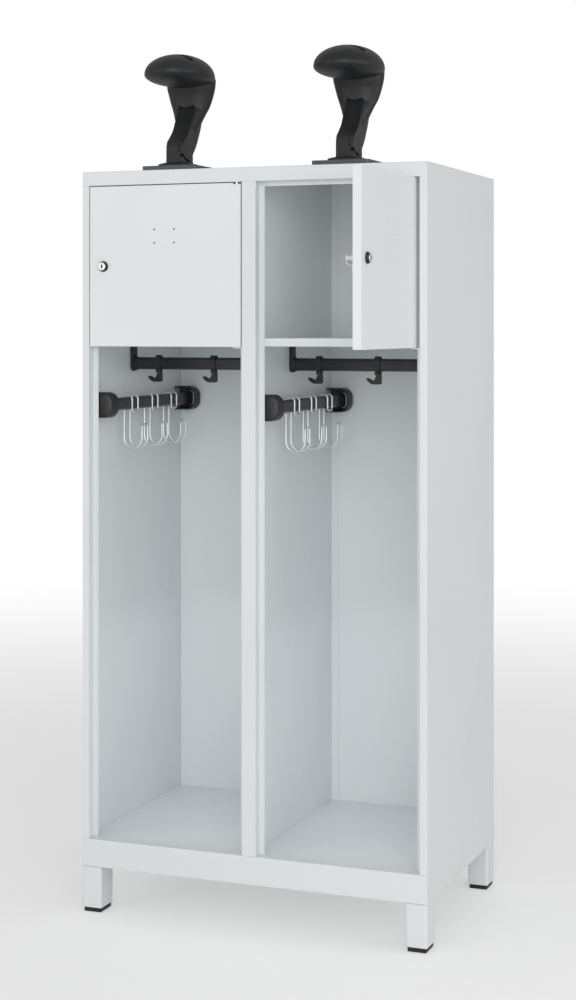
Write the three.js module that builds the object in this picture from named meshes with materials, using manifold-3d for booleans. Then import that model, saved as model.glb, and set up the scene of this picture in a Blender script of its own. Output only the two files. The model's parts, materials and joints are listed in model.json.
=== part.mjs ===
// Two-bay firefighter's gear locker: a folded sheet-steel carcass on four legs, a lockable
// compartment with a right-hung door at the top of each bay, an open hanging space below it,
// and a moulded helmet holder on the roof above each bay.
// Millimetres. +Z is up, the front faces -Y, and the origin is on the floor, in the middle of
// the whole object with its right door standing open.
import * as THREE from 'three';
import { mergeVertices } from 'three/addons/utils/BufferGeometryUtils.js';
import Module from 'manifold-3d';

const wasm = await Module();
wasm.setup();

// ---------------------------------------------------------------- driving dimensions
const width = 900;
const depth = 600;
const height = 1850;
const legHeight = 113;
const fasciaHeight = 69;
const lintelHeight = 35;
const sheet = 1.2;
const bend = 2;
const gap = 0.3;

const stileWidth = 18.3;
const centreStileWidth = 2 * stileWidth;
const rebate = 26;
const stopFlange = 13;
const lintelStop = 11;
const rearFlange = 15;
const backRecess = 10;
const rearPost = 20;

const compartmentFloor = 1435;
const shelfLip = 20;
const shelfReturn = 12;

const doorThickness = 20;
const doorClearance = 2.8;
const doorFlange = 14;
const hingeInset = 12;
const hingeSetback = 6;
const pinRadius = 3;

const hingeNotch = 3;
const tagHalfWidth = 26.5;
const tagHoleHeights = [256, 289];
const tagHoleRadius = 2.4;

const lockInset = 37;
const lockBodyRadius = 9.5;
const lockBore = 6.6;
const lockLength = 42;
const collarRadius = 13.3;
const collarHeight = 8;
const collarNose = 10.4;
const plugFaceRadius = 9.8;
const plugFaceThickness = 1.2;
const camSeatRadius = 4;
const camHeadRadius = 6;
const camHeadHeight = 3.1;
const keySlot = [2.2, 10];
const camLength = 34;

const legSize = [52, 67];
const railHeight = 32;
const railThickness = 15;
const rodCentreZ = 1265;
const rodWallDistance = 39;
const railCentreZ = 1366.5;
const railSetback = 280;
const bracketThickness = 9;
const bracketWidth = 24;
const clipWall = 3.6;
const swivelZ = railCentreZ - railHeight / 2 - 9.8;
const swivelDrop = 23;
const swivelReach = 30;
const cupLength = 42;
const cupWall = 3.5;
const cupHeight = 65;
const cupReach = 64;
const cupCorner = 25;
const socketDepth = 26;

const wireRadius = 2.5;
const wirePairHalf = 17;
const wireCurl = 25.5;
const wireBottomZ = 1147.5;
const wireTipRise = 60;

const helmetHolderSetback = 94;
const holderPlate = 145;
const holderPlateSetback = 4;
const plateThickness = 12;
const headHalf = [83.5, 110.5];
const headCentreZ = 241;
const headUp = 53;
const headDown = 27;
const boltRadius = 3.4;
const boltSpacing = 50;
const legBoltRadius = 4.4;

// ---------------------------------------------------------------- derived places
const openingHalf = width / 2 - stileWidth;
const bayOpening = openingHalf - centreStileWidth / 2;
const doorWidth = bayOpening - 2 * doorClearance;
const doorReach = doorWidth - hingeInset - hingeSetback;
const frontY = (doorReach - depth) / 2;
const rearY = frontY + depth;
const backInnerY = rearY - backRecess - sheet;
const floorZ = legHeight + fasciaHeight;
const lintelZ = height - lintelHeight;
const doorTopZ = lintelZ - doorClearance;
const doorBottomZ = compartmentFloor - shelfLip - 1;
const frontCupY = frontY + rebate + 6;
const rearCupY = backInnerY - 2;
const bays = [
  { name: 'left', wall: -(width / 2 - sheet), far: -sheet / 2, centre: -width / 4, doorOpen: false },
  { name: 'right', wall: sheet / 2, far: width / 2 - sheet, centre: width / 4, doorOpen: true },
];

// ---------------------------------------------------------------- materials
const paint = { color: 0xd3d7d8, roughness: 0.45, metalness: 0.1 };
const blackPlastic = { color: 0x1c1d1f, roughness: 0.55, metalness: 0 };
const blackPaint = { color: 0x232426, roughness: 0.4, metalness: 0.3 };
const greyPlate = { color: 0x3b3f46, roughness: 0.5, metalness: 0.2 };
const zinc = { color: 0xb9bcc0, roughness: 0.3, metalness: 1 };
const chrome = { color: 0xd9dcdf, roughness: 0.15, metalness: 1 };

const locker = new THREE.Group();

function addPart(name, geometry, finish, parent = locker) {
  const mesh = new THREE.Mesh(geometry, new THREE.MeshStandardMaterial(finish));
  mesh.name = name;
  parent.add(mesh);
  return mesh;
}

// ---------------------------------------------------------------- joining and cutting
function toSolid(geometry) {
  const bare = geometry.clone();
  bare.deleteAttribute('normal');
  bare.deleteAttribute('uv');
  const merged = mergeVertices(bare, 1e-4);
  const vertProperties = new Float32Array(merged.attributes.position.array);
  const triVerts = new Uint32Array(merged.index.array);
  return new wasm.Manifold(new wasm.Mesh({ numProp: 3, vertProperties, triVerts }));
}

function toGeometry(solid) {
  const mesh = solid.getMesh();
  const geometry = new THREE.BufferGeometry();
  geometry.setAttribute('position', new THREE.BufferAttribute(new Float32Array(mesh.vertProperties), 3));
  geometry.setIndex(new THREE.BufferAttribute(new Uint32Array(mesh.triVerts), 1));
  return geometry;
}

function join(...pieces) {
  return toGeometry(pieces.map(toSolid).reduce((whole, piece) => whole.add(piece)));
}

function cut(base, ...tools) {
  return toGeometry(tools.map(toSolid).reduce((rest, tool) => rest.subtract(tool), toSolid(base)));
}

function keepInside(base, bound) {
  return toGeometry(toSolid(base).intersect(toSolid(bound)));
}

// ---------------------------------------------------------------- basic shapes
function block(x0, x1, y0, y1, z0, z1) {
  const geometry = new THREE.BoxGeometry(x1 - x0, y1 - y0, z1 - z0);
  return geometry.translate((x0 + x1) / 2, (y0 + y1) / 2, (z0 + z1) / 2);
}

// A cylinder between two heights; turned to lie along Y by rodY.
function post(x, y, radius, z0, z1, sides = 10) {
  const geometry = new THREE.CylinderGeometry(radius, radius, z1 - z0, sides);
  return geometry.rotateX(Math.PI / 2).translate(x, y, (z0 + z1) / 2);
}

function rodY(x, z, radius, y0, y1, sides = 10) {
  return new THREE.CylinderGeometry(radius, radius, y1 - y0, sides).translate(x, (y0 + y1) / 2, z);
}

function prismZ(shape, z0, z1, curveSegments = 4) {
  const geometry = new THREE.ExtrudeGeometry(shape, { depth: z1 - z0, bevelEnabled: false, curveSegments });
  return geometry.translate(0, 0, z0);
}

// A shape drawn in (Y, Z), run along X.
function prismX(shape, x0, x1, curveSegments = 3) {
  const geometry = new THREE.ExtrudeGeometry(shape, { depth: x1 - x0, bevelEnabled: false, curveSegments });
  geometry.translate(0, 0, x0);
  const turn = new THREE.Matrix4().makeBasis(
    new THREE.Vector3(0, 1, 0), new THREE.Vector3(0, 0, 1), new THREE.Vector3(1, 0, 0));
  return geometry.applyMatrix4(turn);
}

// A shape drawn in (X, Z), run along Y from y0 to y1.
function prismY(shape, y0, y1, curveSegments = 3) {
  const geometry = new THREE.ExtrudeGeometry(shape, { depth: y1 - y0, bevelEnabled: false, curveSegments });
  return geometry.rotateX(Math.PI / 2).translate(0, y1, 0);
}

function roundedRectangle(x0, x1, y0, y1, radius) {
  const shape = new THREE.Shape();
  shape.moveTo(x0 + radius, y0);
  shape.lineTo(x1 - radius, y0);
  shape.absarc(x1 - radius, y0 + radius, radius, -Math.PI / 2, 0);
  shape.lineTo(x1, y1 - radius);
  shape.absarc(x1 - radius, y1 - radius, radius, 0, Math.PI / 2);
  shape.lineTo(x0 + radius, y1);
  shape.absarc(x0 + radius, y1 - radius, radius, Math.PI / 2, Math.PI);
  shape.lineTo(x0, y0 + radius);
  shape.absarc(x0 + radius, y0 + radius, radius, Math.PI, 1.5 * Math.PI);
  return shape;
}

// ---------------------------------------------------------------- folded sheet
// Rounds the inner corners of an open path with a three-point arc.
function withBends(path, radius) {
  const result = [path[0]];
  for (let i = 1; i < path.length - 1; i += 1) {
    const corner = new THREE.Vector2(...path[i]);
    const before = new THREE.Vector2(...path[i - 1]).sub(corner).normalize();
    const after = new THREE.Vector2(...path[i + 1]).sub(corner).normalize();
    const start = corner.clone().addScaledVector(before, radius);
    const end = corner.clone().addScaledVector(after, radius);
    const arc = new THREE.QuadraticBezierCurve(start, corner, end);
    for (const t of [0, 0.5, 1]) {
      result.push(arc.getPoint(t).toArray());
    }
  }
  result.push(path[path.length - 1]);
  return result;
}

// Outline of a sheet folded along a path; the sheet lies to the right of the path as it runs,
// or to the left where thickness is negative.
function foldedSheet(path, thickness = sheet) {
  const line = withBends(path, bend).map(([x, y]) => new THREE.Vector2(x, y));
  const inner = line.map((point, i) => {
    const into = line[Math.max(i, 1)].clone().sub(line[Math.max(i, 1) - 1]).normalize();
    const last = Math.min(i, line.length - 2);
    const out = line[last + 1].clone().sub(line[last]).normalize();
    const normal = new THREE.Vector2(into.y + out.y, -into.x - out.x).normalize();
    const reach = thickness / (normal.x * into.y - normal.y * into.x);
    return point.clone().addScaledVector(normal, reach);
  });
  return new THREE.Shape([...line, ...inner.reverse()]);
}

// ---------------------------------------------------------------- carcass
// A side wall: its sheet runs the full height, and between the fascia and the lintel it is folded
// round the front into a stile, a rebate and a door stop, and round the back into a flange.
function sidePanel(side) {
  const outer = side * width / 2;
  const stileX = side * openingHalf;
  const folded = foldedSheet([
    [stileX - side * stopFlange, frontY + rebate],
    [stileX, frontY + rebate],
    [stileX, frontY],
    [outer, frontY],
    [outer, rearY],
    [outer - side * rearFlange, rearY],
  ], -side * sheet);
  const inside = outer - side * sheet;
  const flat = block(Math.min(outer, inside), Math.max(outer, inside),
    frontY + sheet + gap, rearY - sheet - gap, legHeight, height - sheet - gap);
  return join(prismZ(folded, floorZ + gap, lintelZ - gap), flat);
}

// The wall between the bays carries the centre stile at the front and a post at the back.
function centrePartition() {
  const half = centreStileWidth / 2;
  const hat = foldedSheet([
    [-half - stopFlange, frontY + rebate],
    [-half, frontY + rebate],
    [-half, frontY],
    [half, frontY],
    [half, frontY + rebate],
    [half + stopFlange, frontY + rebate],
  ], -sheet);
  const bottom = floorZ + gap;
  const top = height - sheet - gap;
  const backY = backInnerY - gap;
  return join(
    prismZ(hat, bottom, lintelZ - gap),
    block(-sheet / 2, sheet / 2, frontY + sheet / 2, backY, bottom, lintelZ - gap),
    block(-sheet / 2, sheet / 2, frontY + sheet + gap, backY, lintelZ - 1, top),
    block(0, rearPost, backY - sheet, backY, bottom, top),
  );
}

// Roof sheet with the lintel folded down at the front; over each bay the lintel turns back and
// down again as the door's stop.
function roofPanel() {
  const lintelToRear = [
    [frontY, height],
    [rearY, height],
    [rearY, lintelZ],
  ];
  const cover = foldedSheet([[frontY, lintelZ + bend], ...lintelToRear]);
  const withStop = foldedSheet([
    [frontY + rebate, lintelZ - lintelStop],
    [frontY + rebate, lintelZ],
    [frontY, lintelZ],
    ...lintelToRear,
  ]);
  const stopStart = centreStileWidth / 2 + stopFlange + gap;
  const stopEnd = openingHalf - stopFlange - gap;
  const pinX = openingHalf - doorClearance - hingeInset;
  const pieces = [
    prismX(cover, -width / 2, width / 2),
    block(-width / 2, width / 2, frontY, frontY + sheet, lintelZ, height - bend),
  ];
  for (const side of [-1, 1]) {
    const [from, to] = side > 0 ? [stopStart, stopEnd] : [-stopEnd, -stopStart];
    pieces.push(prismX(withStop, from, to));
    const [a, b] = [side * (centreStileWidth / 2 + gap), side * (openingHalf - gap)];
    pieces.push(block(Math.min(a, b), Math.max(a, b),
      frontY + sheet / 2, frontY + rebate - gap, lintelZ, lintelZ + sheet));
  }
  const rounded = prismZ(roundedRectangle(-width / 2, width / 2, frontY, rearY, bend), 0, height + 1);
  const pinHoles = [pinX, pinX - openingHalf - centreStileWidth / 2].map(
    (x) => post(x, frontY + hingeSetback, pinRadius + gap, lintelZ - 5, lintelZ + 5));
  const mountY = frontY + helmetHolderSetback;
  const boltHoles = bays.flatMap(({ centre }) => [-boltSpacing, boltSpacing].map(
    (offset) => post(centre + offset, mountY + boltSpacing, boltRadius, height - 5, height + 5, 8)));
  return cut(keepInside(join(...pieces), rounded), ...pinHoles, ...boltHoles);
}

// Pan-shaped back wall, its edges turned out towards the rear flanges of the sides.
function backPanel() {
  const x = width / 2 - sheet - gap;
  const edgeY = rearY - sheet - gap;
  const top = height - sheet - gap;
  const pan = block(-x, x, backInnerY, edgeY, legHeight, top);
  const hollow = block(-x + sheet, x - sheet, backInnerY + sheet, edgeY + 1, legHeight + sheet, top - sheet);
  return cut(pan, hollow);
}

// Floor of the bays with the fascia below its front edge.
function baseTray() {
  const x = width / 2 - sheet - gap;
  const flangeDepth = 60;
  const backY = backInnerY - gap;
  const folded = foldedSheet([
    [frontY + flangeDepth, legHeight],
    [frontY, legHeight],
    [frontY, floorZ],
    [backY, floorZ],
    [backY, legHeight],
    [backY - flangeDepth, legHeight],
  ]);
  const face = block(-width / 2, width / 2, frontY, frontY + sheet, legHeight + bend, floorZ - bend);
  const rounded = prismZ(roundedRectangle(-width / 2, width / 2, frontY, rearY, bend), 0, height);
  const boltHoles = legPlaces().map(
    ([cx, cy]) => post(cx, cy, legBoltRadius, legHeight - 5, legHeight + 5, 8));
  return cut(keepInside(join(prismX(folded, -x, x), face), rounded), ...boltHoles);
}

function shelf(bay) {
  const lipY = frontY + rebate + sheet + gap;
  const backY = backInnerY - sheet - 2 * gap;
  const folded = foldedSheet([
    [lipY + shelfReturn, compartmentFloor - shelfLip],
    [lipY, compartmentFloor - shelfLip],
    [lipY, compartmentFloor],
    [backY, compartmentFloor],
    [backY, compartmentFloor - shelfLip],
  ]);
  return prismX(folded, bay.wall + gap, bay.far - gap);
}

// ---------------------------------------------------------------- legs
function legPlaces() {
  const x = width / 2 - legSize[0] / 2;
  const y0 = frontY + legSize[1] / 2;
  const y1 = rearY - legSize[1] / 2;
  return [[-x, y0], [x, y0], [-x, y1], [x, y1]];
}

function boxOutline(cx, cy, inset, radius) {
  const halfX = legSize[0] / 2 - inset;
  const halfY = legSize[1] / 2 - inset;
  return roundedRectangle(cx - halfX, cx + halfX, cy - halfY, cy + halfY, radius);
}

function addLegs() {
  const names = ['front_left', 'front_right', 'rear_left', 'rear_right'];
  const capHeight = 11;
  const plugHeight = 26;
  const wall = 1.5;
  const topZ = legHeight - gap;
  legPlaces().forEach(([cx, cy], i) => {
    const tube = prismZ(boxOutline(cx, cy, 0, 4), capHeight + gap, topZ, 2);
    const hollow = prismZ(boxOutline(cx, cy, wall, 2.5), 0, topZ - 3, 2);
    const leg = cut(tube, hollow, post(cx, cy, legBoltRadius, topZ - 10, topZ + 5, 8));
    addPart(`${names[i]}_leg`, leg, paint);
    const pad = prismZ(boxOutline(cx, cy, 3, 3), 0, capHeight, 2);
    const plug = prismZ(boxOutline(cx, cy, wall + gap, 2.2), capHeight - 1, plugHeight, 2);
    addPart(`${names[i]}_leg_cap`, join(pad, plug), blackPlastic);
  });
}

// ---------------------------------------------------------------- doors and locks
// A door is built about its hinge axis: its hinged edge at +X, its face at -Y. Its top edge is
// let down beside the upper hinge, and four small holes in its face take a name-plate.
function doorPan(tall) {
  const left = hingeInset - doorWidth;
  const front = -hingeSetback;
  const back = front + doorThickness;
  const pan = block(left, hingeInset, front, back, 0, tall);
  const pocket = block(left + sheet, hingeInset - sheet, front + sheet, back - sheet, sheet, tall - sheet);
  const mouth = block(left + doorFlange, hingeInset - doorFlange, back - 2 * sheet, back + 1,
    doorFlange, tall - doorFlange);
  const lockHole = rodY(left + lockInset, tall / 2, lockBodyRadius + gap, front - 1, front + 3, 20);
  const pinHole = post(0, 0, pinRadius + gap, -1, tall + 1);
  const notchX = -8;
  const notchZ = tall - hingeNotch;
  const notch = block(notchX, hingeInset + 1, front - 1, back + 1, notchZ, tall + 1);
  const notchFloor = block(notchX - sheet, hingeInset, front, back, notchZ - sheet, notchZ);
  const centreX = left + doorWidth / 2;
  const tagHoles = [-tagHalfWidth, tagHalfWidth].flatMap((dx) => tagHoleHeights.map(
    (z) => rodY(centreX + dx, z, tagHoleRadius, front - 1, front + 3, 8)));
  const shell = cut(pan, pocket, mouth, notch);
  return cut(join(shell, notchFloor), lockHole, pinHole, ...tagHoles);
}

// Lock axes run along Y through the door; the body is built about the point where the axis meets
// the door's face. Its collar stands proud of the door, and the plug's face covers the collar.
function lockHousing() {
  const profile = [
    [lockBore, lockLength], [lockBore, -collarHeight], [collarNose, -collarHeight], [collarRadius, -2],
    [collarRadius, -gap], [lockBodyRadius, -gap], [lockBodyRadius, lockLength], [lockBore, lockLength],
  ];
  return new THREE.LatheGeometry(profile.map(([r, y]) => new THREE.Vector2(r, y)), 16);
}

function lockPlug() {
  const face = -collarHeight - gap;
  const core = lockBore - gap;
  const camHead = lockLength + 2.9;
  const profile = [
    [0, face - plugFaceThickness], [plugFaceRadius, face - plugFaceThickness], [plugFaceRadius, face],
    [core, face], [core, lockLength + gap], [camSeatRadius, lockLength + gap], [camSeatRadius, camHead],
    [camHeadRadius, camHead], [camHeadRadius, camHead + camHeadHeight], [0, camHead + camHeadHeight],
  ];
  const turned = new THREE.LatheGeometry(profile.map(([r, y]) => new THREE.Vector2(r, y)), 12);
  const [slotX, slotZ] = keySlot.map((size) => size / 2);
  return cut(turned, block(-slotX, slotX, face - 2, face + 6, -slotZ, slotZ));
}

// The cam hangs down when unlocked. Its arm is cranked forward, to lie close behind the door stop.
function lockCam() {
  const seatY = lockLength + 2.4;
  const tipY = 31;
  const arm = foldedSheet([
    [seatY, 9],
    [seatY, -13],
    [tipY, -18],
    [tipY, -camLength],
  ], 1.8);
  return cut(prismX(arm, -8, 8), rodY(0, 0, 4.3, 30, 50, 16));
}

function addDoor(bay) {
  const hingeX = (bay.doorOpen ? openingHalf : -centreStileWidth / 2) - doorClearance - hingeInset;
  const hingeY = frontY + hingeSetback;
  const door = new THREE.Group();
  door.position.set(hingeX, hingeY, doorBottomZ);
  door.rotation.z = bay.doorOpen ? Math.PI / 2 : 0;
  const tall = doorTopZ - doorBottomZ;
  addPart(`${bay.name}_door`, doorPan(tall), paint, door);
  const lock = new THREE.Group();
  lock.position.set(hingeInset - doorWidth + lockInset, -hingeSetback, tall / 2);
  addPart(`${bay.name}_lock_housing`, lockHousing(), zinc, lock);
  addPart(`${bay.name}_lock_plug`, lockPlug(), zinc, lock);
  addPart(`${bay.name}_lock_cam`, lockCam(), zinc, lock);
  door.add(lock);
  locker.add(door);

  const pin = join(
    post(hingeX, hingeY, pinRadius, doorTopZ - 16, lintelZ + sheet + 2),
    post(hingeX, hingeY, 4.4, lintelZ + sheet + gap, lintelZ + sheet + 3));
  addPart(`${bay.name}_upper_hinge_pin`, pin, zinc);
  const stileX = hingeX + hingeInset + doorClearance;
  const plateZ = doorBottomZ - 1;
  const bracket = join(
    block(hingeX - 8, stileX - gap, frontY + 1, frontY + 14, plateZ - 2.5, plateZ),
    block(stileX - gap - 2, stileX - gap, frontY + 1, frontY + 14, plateZ - 22, plateZ - 1),
    post(hingeX, hingeY, pinRadius, plateZ - 1, plateZ + 18));
  addPart(`${bay.name}_lower_hinge_bracket`, bracket, zinc);
}

// ---------------------------------------------------------------- hook rail under each shelf
function stadium(cx, cy, thickness, tall, grow = 0) {
  const radius = thickness / 2 + grow;
  const straight = (tall - thickness) / 2;
  const shape = new THREE.Shape();
  shape.absarc(cx, cy + straight, radius, 0, Math.PI);
  shape.absarc(cx, cy - straight, radius, Math.PI, 2 * Math.PI);
  return shape;
}

function hookRail(bay) {
  const y = frontY + railSetback;
  const outer = stadium(y, railCentreZ, railThickness, railHeight);
  const bore = stadium(y, railCentreZ, railThickness, railHeight, -1.5);
  const from = bay.wall + 10;
  const to = bay.far - 10;
  return cut(prismX(outer, from, to), prismX(bore, from - 1, to + 1));
}

// A strap from the shelf down to the rail, with a foot above and a short collar round the rail.
function railBracket(wallX, direction) {
  const y = frontY + railSetback;
  const top = compartmentFloor - sheet - gap;
  const half = bracketWidth / 2;
  const span = (from, to) => [wallX + direction * from, wallX + direction * to].sort((a, b) => a - b);
  const strap = span(0, bracketThickness);
  const body = block(...strap, y - half, y + half, railCentreZ, top);
  const nose = prismX(stadium(y, railCentreZ, bracketWidth, 43), ...strap);
  const collar = prismX(stadium(y, railCentreZ, railThickness, railHeight, 2.6), ...span(0, 15));
  const foot = block(...span(0, bracketThickness), y - 28, y + 28, top - 4, top);
  const socket = prismX(stadium(y, railCentreZ, railThickness, railHeight, gap), ...span(6, 16));
  return cut(join(body, nose, collar, foot), socket);
}

function coatClip(x) {
  const y = frontY + railSetback;
  const band = prismX(stadium(y, railCentreZ, railThickness, railHeight, clipWall), x - 8, x + 8);
  const inside = prismX(stadium(y, railCentreZ, railThickness, railHeight, 0.7), x - 9, x + 9);
  const boss = post(x, y, 8, swivelZ + gap, swivelZ + 8);
  const ridge = prismX(stadium(y, railCentreZ + railHeight / 2, 13, 15), x - 8, x + 8);
  return cut(join(cut(join(band, ridge), inside), boss), post(x, y, 3.6, swivelZ - 1, swivelZ + 5));
}

function wireAlong(points, radius, steps, sides) {
  const curve = new THREE.CatmullRomCurve3(points.map((p) => new THREE.Vector3(...p)), false, 'centripetal');
  const section = new THREE.Shape();
  section.absarc(0, 0, radius, 0, 2 * Math.PI);
  return new THREE.ExtrudeGeometry(section, { steps, extrudePath: curve, curveSegments: sides });
}

// A stubby J with a deep stem, open to the left and turning on a short shank in the clip above it.
function swivelHook(x) {
  const y = frontY + railSetback;
  const bottom = swivelZ - swivelDrop;
  const shape = new THREE.Shape();
  shape.moveTo(x - 3, swivelZ);
  shape.lineTo(x + 8, swivelZ);
  shape.lineTo(x + 8, bottom + 6);
  shape.quadraticCurveTo(x + 8, bottom, x + 2, bottom);
  shape.lineTo(x - 11, bottom);
  shape.quadraticCurveTo(x - 23, bottom + 1, x - swivelReach, bottom + 13);
  shape.lineTo(x - swivelReach + 3.5, bottom + 16);
  shape.quadraticCurveTo(x - 20, bottom + 8.5, x - 12, bottom + 8);
  shape.lineTo(x - 8, bottom + 8);
  shape.quadraticCurveTo(x - 3, bottom + 8, x - 3, bottom + 13);
  return join(prismY(shape, y - 5.5, y + 5.5, 4), post(x, y, 3, swivelZ - 2, swivelZ + 4.6));
}

// ---------------------------------------------------------------- garment rod and its sliding hooks
function garmentRod(x) {
  const outer = stadium(x, rodCentreZ, railThickness, railHeight);
  const bore = stadium(x, rodCentreZ, railThickness, railHeight, -1.5);
  const from = frontCupY + cupWall + gap;
  const to = rearCupY - cupWall - gap;
  return cut(prismY(outer, from, to), prismY(bore, from - 1, to + 1));
}

// Cup that carries a rod end: round-cornered towards the bay, closed at its outer end, open at the
// other end and towards the wall, with an oval socket for the rod inside.
function cupOutline(wallX, inset, wallSide = wallX + inset) {
  const radius = cupCorner - inset;
  const centreX = wallX + cupReach - cupCorner;
  const offset = cupHeight / 2 - cupCorner;
  const shape = new THREE.Shape();
  shape.moveTo(wallSide, rodCentreZ - cupHeight / 2 + inset);
  shape.absarc(centreX, rodCentreZ - offset, radius, -Math.PI / 2, 0);
  shape.absarc(centreX, rodCentreZ + offset, radius, 0, Math.PI / 2);
  shape.lineTo(wallSide, rodCentreZ + cupHeight / 2 - inset);
  return shape;
}

function rodCup(wallX, rodX, closedY, mouthY) {
  const direction = Math.sign(mouthY - closedY);
  const along = (shape, from, to) => {
    const ends = [closedY + direction * from, closedY + direction * to].sort((a, b) => a - b);
    return prismY(shape, ends[0], ends[1], 6);
  };
  const ring = (grow) => stadium(rodX, rodCentreZ, railThickness, railHeight, grow);
  const shell = cut(along(cupOutline(wallX, gap), 0, cupLength),
    along(cupOutline(wallX, cupWall, wallX - 1), cupWall, cupLength + 1));
  const socket = cut(along(ring(cupWall), cupWall - 1, socketDepth),
    along(ring(gap), cupWall, socketDepth + 1));
  return join(shell, socket);
}

// One wire bent into a pair of J hooks that hang over the rod. The pair is linked at the tips and
// again below the rod, where the ends of the wire meet.
function wireHook(x, y) {
  const side = railThickness / 2 + wireRadius + 1.7;
  const over = rodCentreZ + railHeight / 2 + wireRadius + 0.6;
  const under = rodCentreZ - railHeight / 2;
  const centreZ = wireBottomZ + wireRadius + wireCurl;
  const tipX = x - side + 2 * wireCurl;
  const tipZ = wireBottomZ + wireRadius + wireTipRise;
  const half = wirePairHalf;
  const slope = wireCurl * Math.SQRT1_2;
  const branch = (s) => [
    [x + side, y + s * 0.3, under - 6],
    [x + side, y + s * 0.7 * half, under - 4],
    [x + side, y + s * half, under + 4],
    [x + side, y + s * half, over - 8],
    [x + 0.6 * side, y + s * half, over - 1],
    [x - 0.6 * side, y + s * half, over - 1],
    [x - side, y + s * half, over - 8],
    [x - side, y + s * half, under + 10],
    [x - side, y + s * half, centreZ],
    [x - side + wireCurl - slope, y + s * half, centreZ - slope],
    [x - side + wireCurl, y + s * half, centreZ - wireCurl],
    [x - side + wireCurl + slope, y + s * half, centreZ - slope],
    [tipX, y + s * half, centreZ],
    [tipX, y + s * half, tipZ - 7],
    [tipX, y + s * 0.6 * half, tipZ],
  ];
  return wireAlong([...branch(-1), ...branch(1).reverse()], wireRadius, 52, 3);
}

function addBayFittings(bay) {
  addPart(`${bay.name}_shelf`, shelf(bay), paint);
  addPart(`${bay.name}_hook_rail`, hookRail(bay), blackPaint);
  addPart(`${bay.name}_rail_bracket_inner`, railBracket(bay.wall + 1, 1), blackPlastic);
  addPart(`${bay.name}_rail_bracket_outer`, railBracket(bay.far - 1, -1), blackPlastic);
  [79, 236].forEach((offset, i) => {
    addPart(`${bay.name}_coat_clip_${i + 1}`, coatClip(bay.wall + offset), blackPlastic);
    addPart(`${bay.name}_swivel_hook_${i + 1}`, swivelHook(bay.wall + offset), blackPlastic);
  });
  const rodX = bay.wall + rodWallDistance;
  addPart(`${bay.name}_garment_rod`, garmentRod(rodX), blackPaint);
  const frontCup = rodCup(bay.wall, rodX, frontCupY, frontCupY + cupLength);
  addPart(`${bay.name}_rod_cup_front`, frontCup, blackPlastic);
  const rearCup = rodCup(bay.wall, rodX, rearCupY, rearCupY - cupLength);
  addPart(`${bay.name}_rod_cup_rear`, rearCup, blackPlastic);
  [194, 315, 434].forEach((setback, i) => {
    addPart(`${bay.name}_wire_hook_${i + 1}`, wireHook(rodX, frontY + setback), chrome);
  });
}

// ---------------------------------------------------------------- helmet holders
// A low dome; its underside is shallower and lower at the back, where it meets the stem.
function holderHead() {
  const geometry = new THREE.SphereGeometry(1, 24, 14);
  const position = geometry.attributes.position;
  for (let i = 0; i < position.count; i += 1) {
    const across = position.getX(i);
    const along = position.getZ(i);
    const up = position.getY(i);
    const back = THREE.MathUtils.smoothstep(along, -0.1, 1);
    const z = headCentreZ - 6 * back + up * (up > 0 ? headUp + 6 * back : headDown - 10 * back);
    position.setXYZ(i, -across * headHalf[0], along * headHalf[1], z);
  }
  return geometry;
}

// Side-to-side half-width, front and back of a lofted piece at each height above the plate.
const footSections = [
  { z: 0, half: 43, front: -46, back: 34, square: 0.35 },
  { z: 5, half: 43, front: -46, back: 34, square: 0.35 },
  { z: 9, half: 33, front: -38, back: 31, square: 0.3 },
];
const legSections = [
  { z: 2, half: 24, front: -34, back: 34, square: 0.25 },
  { z: 30, half: 23.5, front: -32, back: 28, square: 0.25 },
  { z: 45, half: 23.5, front: -32, back: 40, square: 0.25 },
  { z: 60, half: 23.5, front: -28, back: 52, square: 0.25 },
  { z: 75, half: 23.5, front: -12, back: 61, square: 0.25 },
  { z: 90, half: 23.5, front: 4, back: 70, square: 0.25 },
  { z: 116, half: 23.5, front: 20, back: 82, square: 0.25 },
  { z: 140, half: 23.4, front: 34, back: 87, square: 0.25 },
  { z: 161, half: 23, front: 47, back: 84, square: 0.3 },
];
const flareSections = [
  { z: 80, half: 21, front: 14, back: 56, square: 1 },
  { z: 101, half: 28, front: 17, back: 77, square: 1 },
  { z: 116, half: 33.5, front: 21, back: 85, square: 1 },
  { z: 137, half: 42, front: 30, back: 92, square: 1 },
  { z: 158, half: 51.5, front: 39, back: 97, square: 1 },
  { z: 182, half: 59, front: 36, back: 103, square: 1 },
  { z: 210, half: 65, front: 28, back: 110, square: 1 },
  { z: 226, half: 66, front: 27, back: 111, square: 1 },
];

function loft(sections, around) {
  const geometry = new THREE.CylinderGeometry(1, 1, 1, around, sections.length - 1);
  const position = geometry.attributes.position;
  for (let i = 0; i < position.count; i += 1) {
    const level = Math.round((position.getY(i) + 0.5) * (sections.length - 1));
    const { z, half, front, back, square } = sections[level];
    const squeeze = (v) => (Math.abs(v) < 1e-6 ? 0 : Math.sign(v) * Math.abs(v) ** square);
    const x = -half * squeeze(position.getX(i));
    const y = (front + back) / 2 + squeeze(position.getZ(i)) * (back - front) / 2;
    position.setXYZ(i, x, y, plateThickness + gap + z);
  }
  return geometry;
}

function holderStem() {
  return join(loft(footSections, 16), loft(legSections, 16), loft(flareSections, 20));
}

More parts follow.
